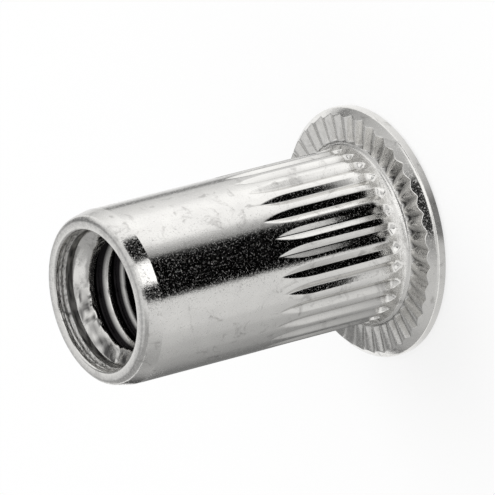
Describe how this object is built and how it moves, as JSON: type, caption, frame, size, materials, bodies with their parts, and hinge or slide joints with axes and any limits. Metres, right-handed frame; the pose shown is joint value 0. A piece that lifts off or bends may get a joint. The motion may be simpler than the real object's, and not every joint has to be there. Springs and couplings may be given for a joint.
{
  "type": "rivet nut",
  "caption": "Flat head rivet nut: a tubular shank with a grooved knurl, a threaded open end and radial serrations under its flange, for setting a machine thread in sheet metal.",
  "frame": {"origin": "centre of the head's flat outer face, on the nut's axis", "axes": "+Z along the nut's axis from the head to the open threaded end, +X along the middle of one knurl groove and one serration, +Y completing a right-handed frame"},
  "size_m": [0.01, 0.01, 0.013],
  "materials": {
    "plated_steel": "bright zinc plate over steel, fine satin grain"
  },
  "bodies": {
    "root": {"rivet_nut": "plated_steel"}
  },
  "joints": []
}
